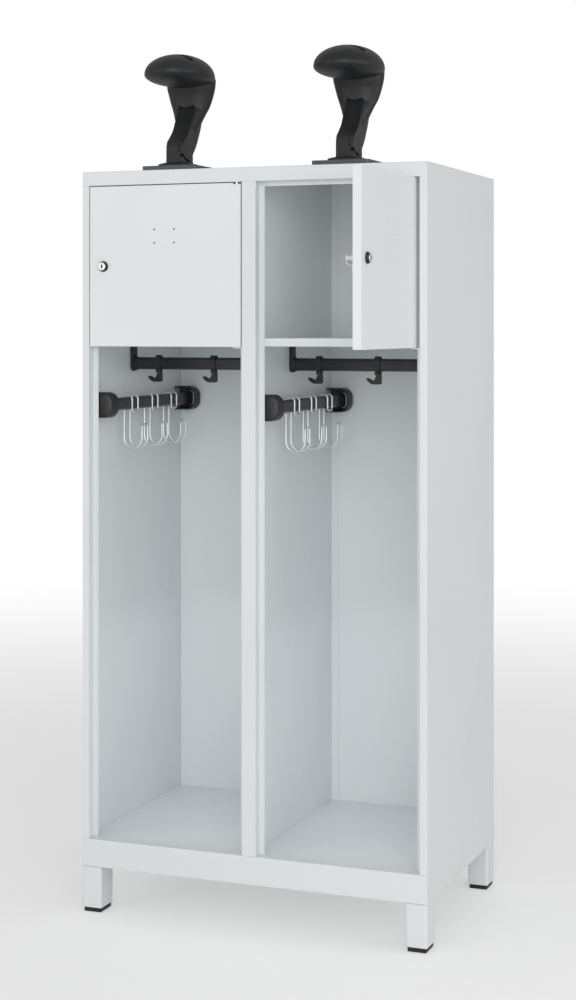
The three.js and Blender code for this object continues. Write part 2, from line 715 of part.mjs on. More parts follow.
function addHelmetHolder(bay) {
  const holder = new THREE.Group();
  holder.position.set(bay.centre, frontY + helmetHolderSetback, height + gap);
  const half = holderPlate / 2;
  const outline = roundedRectangle(-half, half, -half + holderPlateSetback, half + holderPlateSetback, 5);
  const boltHoles = [-boltSpacing, boltSpacing].map(
    (x) => post(x, boltSpacing, boltRadius, -1, plateThickness + 1, 8));
  const plate = cut(prismZ(outline, 0, plateThickness), ...boltHoles);
  addPart(`${bay.name}_helmet_holder_plate`, plate, greyPlate, holder);
  const head = holderHead();
  const grown = head.clone().translate(0, 0, -headCentreZ);
  grown.scale(1.006, 1.006, 1.02).translate(0, 0, headCentreZ);
  addPart(`${bay.name}_helmet_holder_stem`, cut(holderStem(), grown), blackPlastic, holder);
  addPart(`${bay.name}_helmet_holder_head`, head, blackPlastic, holder);
  locker.add(holder);
}

// ---------------------------------------------------------------- assembly
addPart('left_side_panel', sidePanel(-1), paint);
addPart('right_side_panel', sidePanel(1), paint);
addPart('centre_partition', centrePartition(), paint);
addPart('roof_panel', roofPanel(), paint);
addPart('back_panel', backPanel(), paint);
addPart('base_tray', baseTray(), paint);
addLegs();
for (const bay of bays) {
  addDoor(bay);
  addBayFittings(bay);
  addHelmetHolder(bay);
}

export default locker;
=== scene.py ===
import json
import math

import bmesh
import bpy
from mathutils import Matrix, Vector


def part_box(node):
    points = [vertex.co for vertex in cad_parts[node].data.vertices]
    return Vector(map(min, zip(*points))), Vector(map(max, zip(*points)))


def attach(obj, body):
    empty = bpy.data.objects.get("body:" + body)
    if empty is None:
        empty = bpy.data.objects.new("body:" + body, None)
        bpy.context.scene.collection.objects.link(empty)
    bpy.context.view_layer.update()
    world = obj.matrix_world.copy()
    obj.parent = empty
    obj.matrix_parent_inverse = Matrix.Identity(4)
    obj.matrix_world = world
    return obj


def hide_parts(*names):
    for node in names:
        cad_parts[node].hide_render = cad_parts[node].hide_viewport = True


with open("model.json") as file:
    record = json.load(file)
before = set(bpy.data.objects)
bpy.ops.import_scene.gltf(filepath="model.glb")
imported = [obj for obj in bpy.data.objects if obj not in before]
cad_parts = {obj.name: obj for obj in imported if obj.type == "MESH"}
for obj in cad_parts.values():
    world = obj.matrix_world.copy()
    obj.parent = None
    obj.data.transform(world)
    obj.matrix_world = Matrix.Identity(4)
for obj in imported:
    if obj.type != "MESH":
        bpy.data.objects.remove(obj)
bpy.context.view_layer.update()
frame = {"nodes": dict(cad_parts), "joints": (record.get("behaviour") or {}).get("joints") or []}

nodes = frame["nodes"]
MM = 0.001
SIDES = ("left", "right")
MERGE_DISTANCE = 0.00001
TUBE_THICKNESS = 15 * MM
TUBE_HEIGHT = 32 * MM


# ------------------------------------------------------------------ materials
class Finish:
    """A procedural material: noise in object space drives colour, roughness and relief."""

    def __init__(self, name, metallic=0.0):
        self.material = bpy.data.materials.new(name)
        self.material.use_nodes = True
        self.tree = self.material.node_tree
        self.shader = self.tree.nodes["Principled BSDF"]
        self.shader.inputs["Metallic"].default_value = metallic
        self.place = self.tree.nodes.new("ShaderNodeTexCoord").outputs["Object"]
        self.relief = None

    def noise(self, scale, detail=2.0, stretch=None):
        texture = self.tree.nodes.new("ShaderNodeTexNoise")
        texture.inputs["Scale"].default_value = scale
        texture.inputs["Detail"].default_value = detail
        place = self.place
        if stretch is not None:
            mapping = self.tree.nodes.new("ShaderNodeMapping")
            mapping.inputs["Scale"].default_value = stretch
            self.tree.links.new(self.place, mapping.inputs["Vector"])
            place = mapping.outputs["Vector"]
        self.tree.links.new(place, texture.inputs["Vector"])
        return texture.outputs["Fac"]

    def colour(self, dark, light, scale, detail=3.0, low=0.35, high=0.65):
        ramp = self.tree.nodes.new("ShaderNodeValToRGB")
        ramp.color_ramp.elements[0].position = low
        ramp.color_ramp.elements[0].color = (*dark, 1.0)
        ramp.color_ramp.elements[1].position = high
        ramp.color_ramp.elements[1].color = (*light, 1.0)
        self.tree.links.new(self.noise(scale, detail), ramp.inputs["Fac"])
        self.tree.links.new(ramp.outputs["Color"], self.shader.inputs["Base Color"])

    def roughness(self, low, high, scale, detail=3.0, stretch=None):
        span = self.tree.nodes.new("ShaderNodeMapRange")
        span.inputs["From Min"].default_value = 0.3
        span.inputs["From Max"].default_value = 0.7
        span.inputs["To Min"].default_value = low
        span.inputs["To Max"].default_value = high
        self.tree.links.new(self.noise(scale, detail, stretch), span.inputs["Value"])
        self.tree.links.new(span.outputs["Result"], self.shader.inputs["Roughness"])

    def bump(self, scale, depth, strength=1.0, detail=2.0, stretch=None):
        bump = self.tree.nodes.new("ShaderNodeBump")
        bump.inputs["Distance"].default_value = depth
        bump.inputs["Strength"].default_value = strength
        self.tree.links.new(self.noise(scale, detail, stretch), bump.inputs["Height"])
        if self.relief is not None:
            self.tree.links.new(self.relief, bump.inputs["Normal"])
        self.relief = bump.outputs["Normal"]
        self.tree.links.new(self.relief, self.shader.inputs["Normal"])


def grey_paint(name="grey_paint", dark=(0.690, 0.718, 0.732), light=(0.716, 0.742, 0.754)):
    """Light grey powder coat: fine orange peel, and the faint waviness of thin sheet."""
    finish = Finish(name)
    finish.colour(dark, light, 2.2)
    finish.roughness(0.36, 0.46, 35.0)
    finish.bump(3.0, 0.0012, 0.35)
    finish.bump(900.0, 0.00003, 0.6)
    finish.shader.inputs["Coat Weight"].default_value = 0.08
    return finish.material


def door_paint():
    """The same coat, a shade whiter."""
    return grey_paint("door_paint", (0.728, 0.742, 0.752), (0.750, 0.764, 0.772))


def black_paint():
    """Smooth black paint on the steel tubes."""
    finish = Finish("black_painted_tube")
    finish.colour((0.007, 0.007, 0.008), (0.011, 0.011, 0.013), 18.0)
    finish.roughness(0.30, 0.42, 60.0)
    finish.bump(1100.0, 0.00003, 0.7)
    return finish.material


def black_moulding():
    """Glass-filled nylon with a fine spark-eroded texture."""
    finish = Finish("black_moulding")
    finish.colour((0.007, 0.007, 0.008), (0.013, 0.013, 0.015), 40.0)
    finish.roughness(0.42, 0.58, 90.0)
    finish.bump(1700.0, 0.00005, 0.8, detail=4.0)
    return finish.material


def holder_plastic():
    """Satin charcoal plastic."""
    finish = Finish("holder_plastic")
    finish.colour((0.0125, 0.013, 0.014), (0.017, 0.0175, 0.019), 14.0)
    finish.roughness(0.40, 0.48, 45.0)
    finish.bump(1300.0, 0.00003, 0.6, detail=4.0)
    finish.shader.inputs["Specular IOR Level"].default_value = 0.36
    return finish.material


def dark_plate():
    """Blue-grey paint on the mounting plates."""
    finish = Finish("dark_plate")
    finish.colour((0.050, 0.060, 0.074), (0.070, 0.082, 0.098), 25.0)
    finish.roughness(0.34, 0.48, 70.0)
    finish.bump(900.0, 0.00004, 0.7)
    return finish.material


def bright_wire():
    """Plated wire, drawn along its length."""
    finish = Finish("wire", metallic=1.0)
    finish.colour((0.80, 0.81, 0.82), (0.86, 0.87, 0.88), 60.0)
    finish.roughness(0.42, 0.52, 160.0)
    finish.bump(700.0, 0.00001, 0.3)
    return finish.material


def zinc_plate():
    """Bright zinc with a faint turning grain."""
    finish = Finish("zinc_plate", metallic=1.0)
    finish.colour((0.78, 0.79, 0.79), (0.88, 0.88, 0.87), 45.0)
    finish.roughness(0.30, 0.42, 120.0, stretch=(1.0, 1.0, 6.0))
    finish.bump(420.0, 0.00003, 0.6)
    return finish.material


MATERIALS = {
    name: make()
    for name, make in (
        ("grey_paint", grey_paint),
        ("door_paint", door_paint),
        ("black_painted_tube", black_paint),
        ("black_moulding", black_moulding),
        ("holder_plastic", holder_plastic),
        ("dark_plate", dark_plate),
        ("wire", bright_wire),
        ("zinc_plate", zinc_plate),
    )
}


# ------------------------------------------------------------------ finishing of meshes
def crisp_shading(limit=math.radians(38)):
    """Node group that joins split corners and shades smooth across every edge but the sharp ones."""
    group = bpy.data.node_groups.new("crisp_shading", "GeometryNodeTree")
    group.interface.new_socket("Geometry", in_out="INPUT", socket_type="NodeSocketGeometry")
    group.interface.new_socket("Geometry", in_out="OUTPUT", socket_type="NodeSocketGeometry")
    entry = group.nodes.new("NodeGroupInput")
    leave = group.nodes.new("NodeGroupOutput")
    merge = group.nodes.new("GeometryNodeMergeByDistance")
    merge.inputs["Distance"].default_value = MERGE_DISTANCE
    angle = group.nodes.new("GeometryNodeInputMeshEdgeAngle")
    over = group.nodes.new("FunctionNodeCompare")
    over.data_type = "FLOAT"
    over.operation = "GREATER_THAN"
    over.inputs["B"].default_value = limit
    store = group.nodes.new("GeometryNodeStoreNamedAttribute")
    store.data_type = "BOOLEAN"
    store.domain = "EDGE"
    store.inputs["Name"].default_value = "sharp_edge"
    smooth = group.nodes.new("GeometryNodeSetShadeSmooth")
    link = group.links.new
    link(entry.outputs["Geometry"], merge.inputs["Geometry"])
    link(merge.outputs["Geometry"], store.inputs["Geometry"])
    link(angle.outputs["Unsigned Angle"], over.inputs["A"])
    link(over.outputs["Result"], store.inputs["Value"])
    link(store.outputs["Geometry"], smooth.inputs["Geometry"])
    link(smooth.outputs["Geometry"], leave.inputs["Geometry"])
    return group


CRISP = crisp_shading()


def ease_edges(obj, width, segments=2, angle=50):
    """Rounds the sharp edges of a mesh by width, in metres, and shades it."""
    weld = obj.modifiers.new("weld", "WELD")
    weld.merge_threshold = MERGE_DISTANCE
    if width > 0:
        bevel = obj.modifiers.new("eased edges", "BEVEL")
        bevel.width = width
        bevel.segments = segments
        bevel.limit_method = "ANGLE"
        bevel.angle_limit = math.radians(angle)
        bevel.miter_outer = "MITER_ARC"
    shade = obj.modifiers.new("crisp shading", "NODES")
    shade.node_group = CRISP
    even = obj.modifiers.new("even shading", "WEIGHTED_NORMAL")
    even.mode = "FACE_AREA"
    even.weight = 90
    even.keep_sharp = True
    return obj


def apply_modifiers(obj):
    """Replaces a mesh by the result of its modifiers."""
    graph = bpy.context.evaluated_depsgraph_get()
    mesh = bpy.data.meshes.new_from_object(obj.evaluated_get(graph))
    obj.modifiers.clear()
    obj.data = mesh
    return obj


def combine(base, tool, operation):
    """Joins a mesh with another, or cuts it by the other; the tool is used up."""
    change = base.modifiers.new("combine", "BOOLEAN")
    change.operation = operation
    change.solver = "EXACT"
    change.object = tool
    apply_modifiers(base)
    bpy.data.objects.remove(tool)
    return base


def dress(obj, material):
    obj.data.materials.clear()
    obj.data.materials.append(MATERIALS[material])


def place_piece(obj, node_names, body, material):
    """Gives a new piece its finish and its body, and hides the CAD nodes that it stands for."""
    dress(obj, material)
    if node_names:
        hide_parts(*node_names)
    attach(obj, body)
    return obj


def mesh_object(name, vertices, faces):
    """New object whose faces all look outwards."""
    mesh = bpy.data.meshes.new(name)
    mesh.from_pydata([tuple(v) for v in vertices], [], faces)
    mesh.validate()
    work = bmesh.new()
    work.from_mesh(mesh)
    bmesh.ops.recalc_face_normals(work, faces=work.faces)
    work.to_mesh(mesh)
    work.free()
    obj = bpy.data.objects.new(name, mesh)
    bpy.context.scene.collection.objects.link(obj)
    return obj


def joined(name, *parts):
    """One object out of several meshes, each given as (vertices, faces)."""
    vertices = []
    faces = []
    for part_vertices, part_faces in parts:
        start = len(vertices)
        vertices += list(part_vertices)
        faces += [tuple(start + i for i in face) for face in part_faces]
    return mesh_object(name, vertices, faces)


def skin(rings, endless=False):
    """Faces that join rings of equal length; an endless row joins up, any other is capped with fans."""
    count = len(rings[0])
    vertices = [Vector(p) for ring in rings for p in ring]
    faces = []
    steps = len(rings) if endless else len(rings) - 1
    for i in range(steps):
        a = i * count
        b = ((i + 1) % len(rings)) * count
        for j in range(count):
            k = (j + 1) % count
            faces.append((a + j, a + k, b + k, b + j))
    if not endless:
        for ring_start in (0, (len(rings) - 1) * count):
            centre = sum((vertices[ring_start + j] for j in range(count)), Vector()) / count
            vertices.append(centre)
            tip = len(vertices) - 1
            faces += [(ring_start + j, ring_start + (j + 1) % count, tip) for j in range(count)]
    return vertices, faces


def arc(cx, cy, radius, start, end, steps):
    """Points on a circle from one angle to another, in degrees, both ends included."""
    points = []
    for i in range(steps + 1):
        a = math.radians(start + (end - start) * i / steps)
        points.append((cx + radius * math.cos(a), cy + radius * math.sin(a)))
    return points


def stadium(cx, cy, thickness, tall, grow=0.0, steps=14):
    """Upright oval outline of flat tube, drawn in (across, up)."""
    radius = thickness / 2 + grow
    straight = (tall - thickness) / 2
    return arc(cx, cy + straight, radius, 0, 180, steps) + arc(cx, cy - straight, radius, 180, 360, steps)


def along_x(outline, x):
    """An outline drawn in (Y, Z), placed at x."""
    return [(x, a, b) for a, b in outline]


def along_y(outline, y):
    """An outline drawn in (X, Z), placed at y."""
    return [(a, y, b) for a, b in outline]


def along_z(outline, z):
    """An outline drawn in (X, Y), placed at z."""
    return [(a, b, z) for a, b in outline]


def upright_prism(name, outline, low, high):
    """Mesh of an outline in millimetres, run up from one height to another."""
    return mesh_object(name, *skin([[(x * MM, y * MM, z * MM) for x, y in outline] for z in (low, high)]))


# ------------------------------------------------------------------ sheet metal
SHEET_NODES = ["centre_partition", "roof_panel", "back_panel", "base_tray"]
SHEET_NODES += [f"{side}_{part}" for side in SIDES for part in ("side_panel", "shelf", "door")]
LEGS = [f"{end}_{side}_leg" for end in ("front", "rear") for side in SIDES]


def finish_sheet_metal():
    for name in SHEET_NODES + LEGS:
        dress(nodes[name], "door_paint" if name.endswith("_door") else "grey_paint")
        ease_edges(nodes[name], 0.35 * MM)
    for name in LEGS:
        dress(nodes[name + "_cap"], "black_moulding")
        ease_edges(nodes[name + "_cap"], 1.2 * MM, segments=3)


# ------------------------------------------------------------------ tubes and what hangs on them
TUBE_WALL = 1.5 * MM


def flat_tube(name, along, low, high, axis_at, thickness, tall):
    """Open-ended oval tube from low to high; along makes its rings, axis_at is its centre line."""
    lip = 0.4 * MM

    def outer(grow):
        return stadium(axis_at[0], axis_at[1], thickness, tall, grow)

    rings = [
        along(outer(-TUBE_WALL + lip), low), along(outer(-lip), low), along(outer(0.0), low + lip),
        along(outer(0.0), high - lip), along(outer(-lip), high), along(outer(-TUBE_WALL + lip), high),
        along(outer(-TUBE_WALL), high - lip), along(outer(-TUBE_WALL), low + lip),
    ]
    return ease_edges(mesh_object(name, *skin(rings, endless=True)), 0.0)


def make_tubes():
    for side in SIDES:
        low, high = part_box(f"{side}_hook_rail")
        centre = ((low.y + high.y) / 2, (low.z + high.z) / 2)
        rail = flat_tube(f"{side}_rail_tube", along_x, low.x, high.x, centre, high.y - low.y, high.z - low.z)
        place_piece(rail, [f"{side}_hook_rail"], "carcass", "black_painted_tube")
        low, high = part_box(f"{side}_garment_rod")
        centre = ((low.x + high.x) / 2, (low.z + high.z) / 2)
        rod = flat_tube(f"{side}_rod_tube", along_y, low.y, high.y, centre, high.x - low.x, high.z - low.z)
        place_piece(rod, [f"{side}_garment_rod"], "carcass", "black_painted_tube")


def rail_centre(side):
    low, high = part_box(f"{side}_hook_rail")
    return (low.y + high.y) / 2, (low.z + high.z) / 2


def make_rail_brackets():
    for side in SIDES:
        y, z = rail_centre(side)
        rail_low, rail_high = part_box(f"{side}_hook_rail")
        for end in ("inner", "outer"):
            node = f"{side}_rail_bracket_{end}"
            low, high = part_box(node)
            near_left = (low.x + high.x) < (rail_low.x + rail_high.x)
            wall_x, inward = (low.x, 1) if near_left else (high.x, -1)
            piece = joined(node + "_moulding", *bracket_shape(wall_x, inward, high.z, y, z))
            place_piece(ease_edges(piece, 1.0 * MM, segments=3), [node], "carcass", "black_moulding")


def bracket_shape(wall_x, inward, top, y, z):
    """A strap with a round-bottomed end, a foot against the shelf and a collar round the rail."""
    half = 12 * MM
    strap_x = wall_x + inward * 9 * MM
    bottom = arc(y, z - 8.5 * MM, half, 180, 360, 20)
    strap = [(y - half, top - 4 * MM)] + bottom + [(y + half, top - 4 * MM)]
    foot_half = 28 * MM
    foot = [
        (y - foot_half, top), (y - foot_half, top - 3 * MM), (y - half - 5 * MM, top - 5 * MM),
        (y - half, top - 10 * MM), (y + half, top - 10 * MM), (y + half + 5 * MM, top - 5 * MM),
        (y + foot_half, top - 3 * MM), (y + foot_half, top),
    ]
    collar = stadium(y, z, TUBE_THICKNESS, TUBE_HEIGHT, 2.6 * MM)
    return [
        skin([along_x(strap, wall_x), along_x(strap, strap_x)]),
        skin([along_x(foot, wall_x), along_x(foot, strap_x)]),
        skin([along_x(collar, wall_x + inward * 2 * MM), along_x(collar, wall_x + inward * 15 * MM)]),
    ]


def make_clips():
    for side in SIDES:
        y, z = rail_centre(side)
        for i in (1, 2):
            node = f"{side}_coat_clip_{i}"
            low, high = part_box(node)
            x = (low.x + high.x) / 2
            piece = joined(f"{node}_band", *clip_shape(x, y, z, low))
            place_piece(ease_edges(piece, 0.8 * MM, segments=3), [node], node, "black_moulding")
            hook = swivel_shape(f"{side}_swivel_hook_{i}")
            place_piece(hook, [f"{side}_swivel_hook_{i}"], f"{side}_swivel_hook_{i}", "black_moulding")


def clip_shape(x, y, z, low):
    """Band round the rail with a ridge on top and a round boss for the hook below."""
    half = 6.6 * MM
    ridge_half = 8 * MM

    def outer(grow):
        return stadium(y, z, TUBE_THICKNESS, TUBE_HEIGHT, grow)

    band = skin([
        along_x(outer(0.8 * MM), x - half), along_x(outer(3.6 * MM), x - half),
        along_x(outer(3.6 * MM), x + half), along_x(outer(0.8 * MM), x + half),
    ], endless=True)
    top = z + 16 * MM
    ridge_outline = arc(y, top - 1.5 * MM, 7.4 * MM, 0, 180, 14)
    ridge = skin([along_x(ridge_outline, x - ridge_half), along_x(ridge_outline, x + ridge_half)])
    boss_bottom = low.z
    boss_top = z - 16 * MM - 2 * MM
    boss = skin([
        along_z(arc(x, y, 8.6 * MM, 0, 345, 23), boss_bottom),
        along_z(arc(x, y, 9.2 * MM, 0, 345, 23), boss_top),
    ])
    return band, ridge, boss


def swivel_shape(node):
    """Stubby J with a round shank, its tip reaching out to the left."""
    low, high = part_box(node)
    x = high.x - 8 * MM
    y = (low.y + high.y) / 2
    bottom = low.z
    top = bottom + 23 * MM

    def curve(start, pull, end, steps=8):
        points = []
        for i in range(1, steps + 1):
            t = i / steps
            points.append(tuple((1 - t) ** 2 * a + 2 * t * (1 - t) * b + t * t * c
                                for a, b, c in zip(start, pull, end)))
        return points

    def at(dx, dz):
        return x + dx * MM, bottom + dz * MM

    outline = [at(-3, 23), at(8, 23), at(8, 6)]
    outline += curve(at(8, 6), at(8, 0), at(2, 0))
    outline += [at(-11, 0)]
    outline += curve(at(-11, 0), at(-23, 1), at(-30, 13))
    outline += curve(at(-30, 13), at(-29.5, 16.5), at(-26.5, 16), steps=4)
    outline += curve(at(-26.5, 16), at(-20, 8.5), at(-12, 8))
    outline += [at(-8, 8)]
    outline += curve(at(-8, 8), at(-3, 8), at(-3, 13))
    half = 5.5 * MM
    slab = skin([along_y(outline, y - half), along_y(outline, y + half)])
    shank = skin([along_z(arc(x, y, 3 * MM, 0, 337.5, 15), top - 2 * MM),
                  along_z(arc(x, y, 3 * MM, 0, 337.5, 15), high.z)])
    return ease_edges(joined(node + "_moulding", slab, shank), 1.8 * MM, segments=4)


# ------------------------------------------------------------------ rod cups
def cup_outline(wall_x, reach, z, tall, inset):
    """Outline in (across, up): square against the wall, round-cornered towards the bay."""
    corner = 25 * MM
    r = max(corner - inset, 2 * MM)
    cx = wall_x + reach - corner
    cz = tall / 2 - corner
    points = [(wall_x + inset, z - tall / 2 + inset)]
    points += arc(cx, z - cz, r, -90, 0, 16)
    points += arc(cx, z + cz, r, 0, 90, 16)
    points += [(wall_x + inset, z + tall / 2 - inset)]
    return points


def make_cups():
    for side in SIDES:
        rod_low, rod_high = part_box(f"{side}_garment_rod")
        rod_x = (rod_low.x + rod_high.x) / 2
        z = (rod_low.z + rod_high.z) / 2
        for end in ("front", "rear"):
            node = f"{side}_rod_cup_{end}"
            low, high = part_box(node)
            closed, mouth = (low.y, high.y) if end == "front" else (high.y, low.y)
            piece = cup_shape(f"{node}_moulding", low, high, rod_x, z, closed, mouth)
            place_piece(ease_edges(piece, 0.0), [node], "carcass", "black_moulding")
            # painted highlight: a thin bright wire laid along each socket's rim stands in for the rim's edge
            # catching the light
            rim_highlight = rim_highlight_wire(f"{node}_clip", rod_x, z, closed, mouth)
            place_piece(ease_edges(rim_highlight, 0.0), [], "carcass", "wire")


def cup_shape(name, low, high, rod_x, z, closed, mouth):
    """Shell open at one end and towards the wall, with a flared oval socket inside."""
    reach = high.x - low.x
    tall = high.z - low.z
    toward = 1 if mouth > closed else -1
    depth = abs(mouth - closed)

    def ring(t, inset):
        return along_y(cup_outline(low.x, reach, z, tall, inset * MM), closed + toward * t)

    crown = [(0.0, 20), (0.25 * MM, 12), (0.9 * MM, 7), (2.2 * MM, 3.4), (4.2 * MM, 1.3), (7 * MM, 0.3),
             (10 * MM, 0)]
    rim = [(depth - 1.4 * MM, 0), (depth - 0.4 * MM, 0.4), (depth, 1.4), (depth, 3.2), (depth - 0.4 * MM, 4.2),
           (depth - 1.4 * MM, 4.6)]
    inside = [(9 * MM, 5.4), (6.5 * MM, 7), (5.4 * MM, 11)]
    shell = mesh_object(name, *skin([ring(t, inset) for t, inset in crown + rim + inside]))
    x0, x1 = low.x - MM, low.x + 8 * MM
    arm = 5 * MM
    bottom, top = z - tall / 2 + arm, z + tall / 2 - arm
    side_opening = [(x0, bottom), (x1, bottom), (x1, top), (x0, top)]
    opening = mesh_object("side_opening", *skin([
        along_y(side_opening, closed + toward * t) for t in (7 * MM, depth + 2 * MM)]))
    combine(shell, opening, "DIFFERENCE")

    def oval(t, grow):
        return along_y(stadium(rod_x, z, TUBE_THICKNESS, TUBE_HEIGHT, grow * MM), closed + toward * t)

    flare = [(4 * MM, 12), (5.6 * MM, 9.8), (7.2 * MM, 7.6), (10 * MM, 5.8), (15 * MM, 4.4), (21 * MM, 3.7),
             (25 * MM, 3.4), (26 * MM, 2.6), (26 * MM, 1.2), (25 * MM, 0.4), (4 * MM, 0.4)]
    socket = mesh_object("socket", *skin([oval(t, grow) for t, grow in flare], endless=True))
    return combine(shell, socket, "UNION")


def rim_highlight_wire(name, rod_x, z, closed, mouth):
    """Thin bright wire along the bay side of the socket's rim: a painted highlight, standing in for the light
    caught by the rim's edge.
    """
    toward = 1 if mouth > closed else -1
    at = closed + toward * 24.6 * MM
    wire = 1.0 * MM
    reach = 12.2 * MM
    offset = (TUBE_HEIGHT - TUBE_THICKNESS) / 2
    bend = arc(rod_x, z - offset, reach, -80, 0, 12) + arc(rod_x, z + offset, reach, 0, 80, 12)
    rings = []
    for i, (x, up) in enumerate(bend):
        ahead, behind = bend[min(i + 1, len(bend) - 1)], bend[max(i - 1, 0)]
        slope = math.atan2(ahead[1] - behind[1], ahead[0] - behind[0])
        rings.append([
            (x - r * math.sin(slope), at + toward * across, up + r * math.cos(slope))
            for r, across in ((wire * math.cos(a), wire * math.sin(a))
                              for a in (2 * math.pi * k / 12 for k in range(12)))])
    return mesh_object(name, *skin(rings))


# ------------------------------------------------------------------ wire hooks
def wire_loop(rod_x, y, half, z_low, tip_z, rod_low, rod_high, wire):
    """Centre line of a pair of J hooks: one endless wire, linked at the tips and below the rod."""
    side = 7.5 * MM + wire + 1.7 * MM
    curl = 25.5 * MM
    link = 7.5 * MM
    over = rod_high + wire + 0.6 * MM
    left = rod_x - side
    right = rod_x + side
    tip_x = left + 2 * curl
    shoulder = 8 * MM

    def corner(x, z0, turn):
        """Rounded corner of a link in the (Y, Z) plane, seen from the middle of the link outwards."""
        points = []
        for i in range(7):
            a = math.radians(90 * i / 6)
            points.append((x, half - link + link * math.sin(a), z0 + turn * link * math.cos(a)))
        return points

    branch = corner(right, rod_low + 1.5 * MM, -1)
    branch += [(px, half, pz) for px, pz in arc(right - shoulder, over - shoulder, shoulder, 0, 90, 8)]
    branch += [(px, half, pz) for px, pz in arc(left + shoulder, over - shoulder, shoulder, 90, 180, 8)]
    branch += [(px, half, pz) for px, pz in arc(left + curl, z_low + curl, curl, 180, 360, 28)]
    branch += corner(tip_x, tip_z - link, 1)[::-1]
    far = [Vector((px, y + dy, pz)) for px, dy, pz in branch]
    near = [Vector((px, y - dy, pz)) for px, dy, pz in branch]
    return far + near[::-1]


def even_points(path, spacing):
    """The closed path again, its straights broken into steps of about equal length."""
    points = []
    for start, end in zip(path, path[1:] + path[:1]):
        steps = max(1, round((end - start).length / spacing))
        points += [start.lerp(end, i / steps) for i in range(steps)]
    return points


def endless_wire(name, path, radius, sides=14):
    count = len(path)
    rings = []
    normal = None
    for i, point in enumerate(path):
        tangent = (path[(i + 1) % count] - path[i - 1]).normalized()
        normal = tangent.orthogonal() if normal is None else normal - tangent * normal.dot(tangent)
        normal.normalize()
        across = tangent.cross(normal)
        rings.append((point, normal.copy(), across))
    last_tangent = (path[0] - path[-1]).normalized()
    twist = rings[-1][1].angle(rings[0][1])
    if rings[-1][1].cross(rings[0][1]).dot(last_tangent) < 0:
        twist = -twist
    loops = []
    for i, (point, normal, across) in enumerate(rings):
        untwist = twist * i / (count - 1)
        loops.append([point + radius * (math.cos(a) * normal + math.sin(a) * across)
                      for a in (2 * math.pi * j / sides + untwist for j in range(sides))])
    return ease_edges(mesh_object(name, *skin(loops, endless=True)), 0.0)


def make_wire_hooks():
    wire = 2.2 * MM
    for side in SIDES:
        rod_low, rod_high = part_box(f"{side}_garment_rod")
        rod_x = (rod_low.x + rod_high.x) / 2
        for i in (1, 2, 3):
            node = f"{side}_wire_hook_{i}"
            low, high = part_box(node)
            loop = wire_loop(rod_x, (low.y + high.y) / 2, 17 * MM, low.z + wire, low.z + 62.5 * MM,
                             rod_low.z, rod_high.z, wire)
            piece = endless_wire(f"{node}_wire", even_points(loop, 6 * MM), wire)
            place_piece(piece, [node], node, "wire")


# ------------------------------------------------------------------ locks and hinges
def turned(name, profile, hollow, steps=48):
    """Outline in (radius, along) in millimetres, spun round the Z axis."""
    rings = [[(r * MM * math.cos(a), r * MM * math.sin(a), along * MM)
              for a in (2 * math.pi * k / steps for k in range(steps))] for r, along in profile]
    return mesh_object(name, *skin(rings, endless=hollow))


def lens_outline(half_width, half_height):
    """Pointed oval, drawn upright."""
    points = []
    for sign in (1, -1):
        for i in range(12):
            v = -1 + i / 6
            points.append((sign * half_width * (1 - v * v), sign * half_height * v))
    return points


def set_on_axis(obj, joint):
    """Moves a shape built round Z onto a lock's axis: its Z runs into the door, its Y stays upright."""
    inward = Vector(joint["axis"])
    upward = Vector((0, 0, 1))
    place = Matrix((upward.cross(inward), upward, inward)).transposed().to_4x4()
    place.translation = Vector(joint["pos_m"])
    obj.data.transform(place)
    return obj


COLLAR = [(6.6, -8.0), (9.9, -8.0), (10.4, -7.6), (13.0, -2.6), (13.3, -1.8), (13.3, -0.3), (6.6, -0.3)]
LOCK_BODY = [(6.6, -0.6), (9.5, -0.6), (9.5, 10), (8.9, 10.4), (9.5, 10.8), (9.5, 41.4), (8.9, 42), (6.6, 42)]
PLUG = [(9.2, -9.5), (9.8, -9.0), (9.8, -8.3), (6.3, -8.3), (6.3, 42.3), (4, 42.3), (4, 44.9),
        (6, 44.9), (6, 47.6), (5.6, 48)]


def make_locks():
    joints = {joint["name"]: joint for joint in frame["joints"]}
    for side in SIDES:
        joint = joints[f"{side}_lock_turn"]
        housing = f"{side}_lock_housing"
        plug = f"{side}_lock_plug"
        cam_set = f"{side}_lock_cam_set"
        collar = set_on_axis(turned(f"{side}_lock_collar", COLLAR, hollow=True), joint)
        place_piece(ease_edges(collar, 0.0), [housing], f"{side}_door", "black_moulding")
        body = set_on_axis(turned(f"{side}_lock_body", LOCK_BODY, hollow=True), joint)
        place_piece(ease_edges(body, 0.0), [housing], f"{side}_door", "zinc_plate")
        core = turned(f"{side}_lock_core", PLUG, hollow=False)
        combine(core, upright_prism("keyway", lens_outline(2.6, 5.8), -12, -4), "DIFFERENCE")
        place_piece(ease_edges(set_on_axis(core, joint), 0.0), [plug], cam_set, "zinc_plate")
        # painted shade: a black lens set just behind the plug's face fills the keyway and stands in for the
        # shade inside a deep keyhole
        keyway_shade = upright_prism(f"{side}_lock_keyway_shade", lens_outline(2.5, 5.6), -8.9, -4.2)
        place_piece(ease_edges(set_on_axis(keyway_shade, joint), 0.0), [plug], cam_set, "black_moulding")


def finish_hardware():
    for side in SIDES:
        for part, material in (("lock_cam", "zinc_plate"), ("upper_hinge_pin", "zinc_plate"),
                               ("lower_hinge_bracket", "grey_paint")):
            dress(nodes[f"{side}_{part}"], material)
            ease_edges(nodes[f"{side}_{part}"], 0.25 * MM)


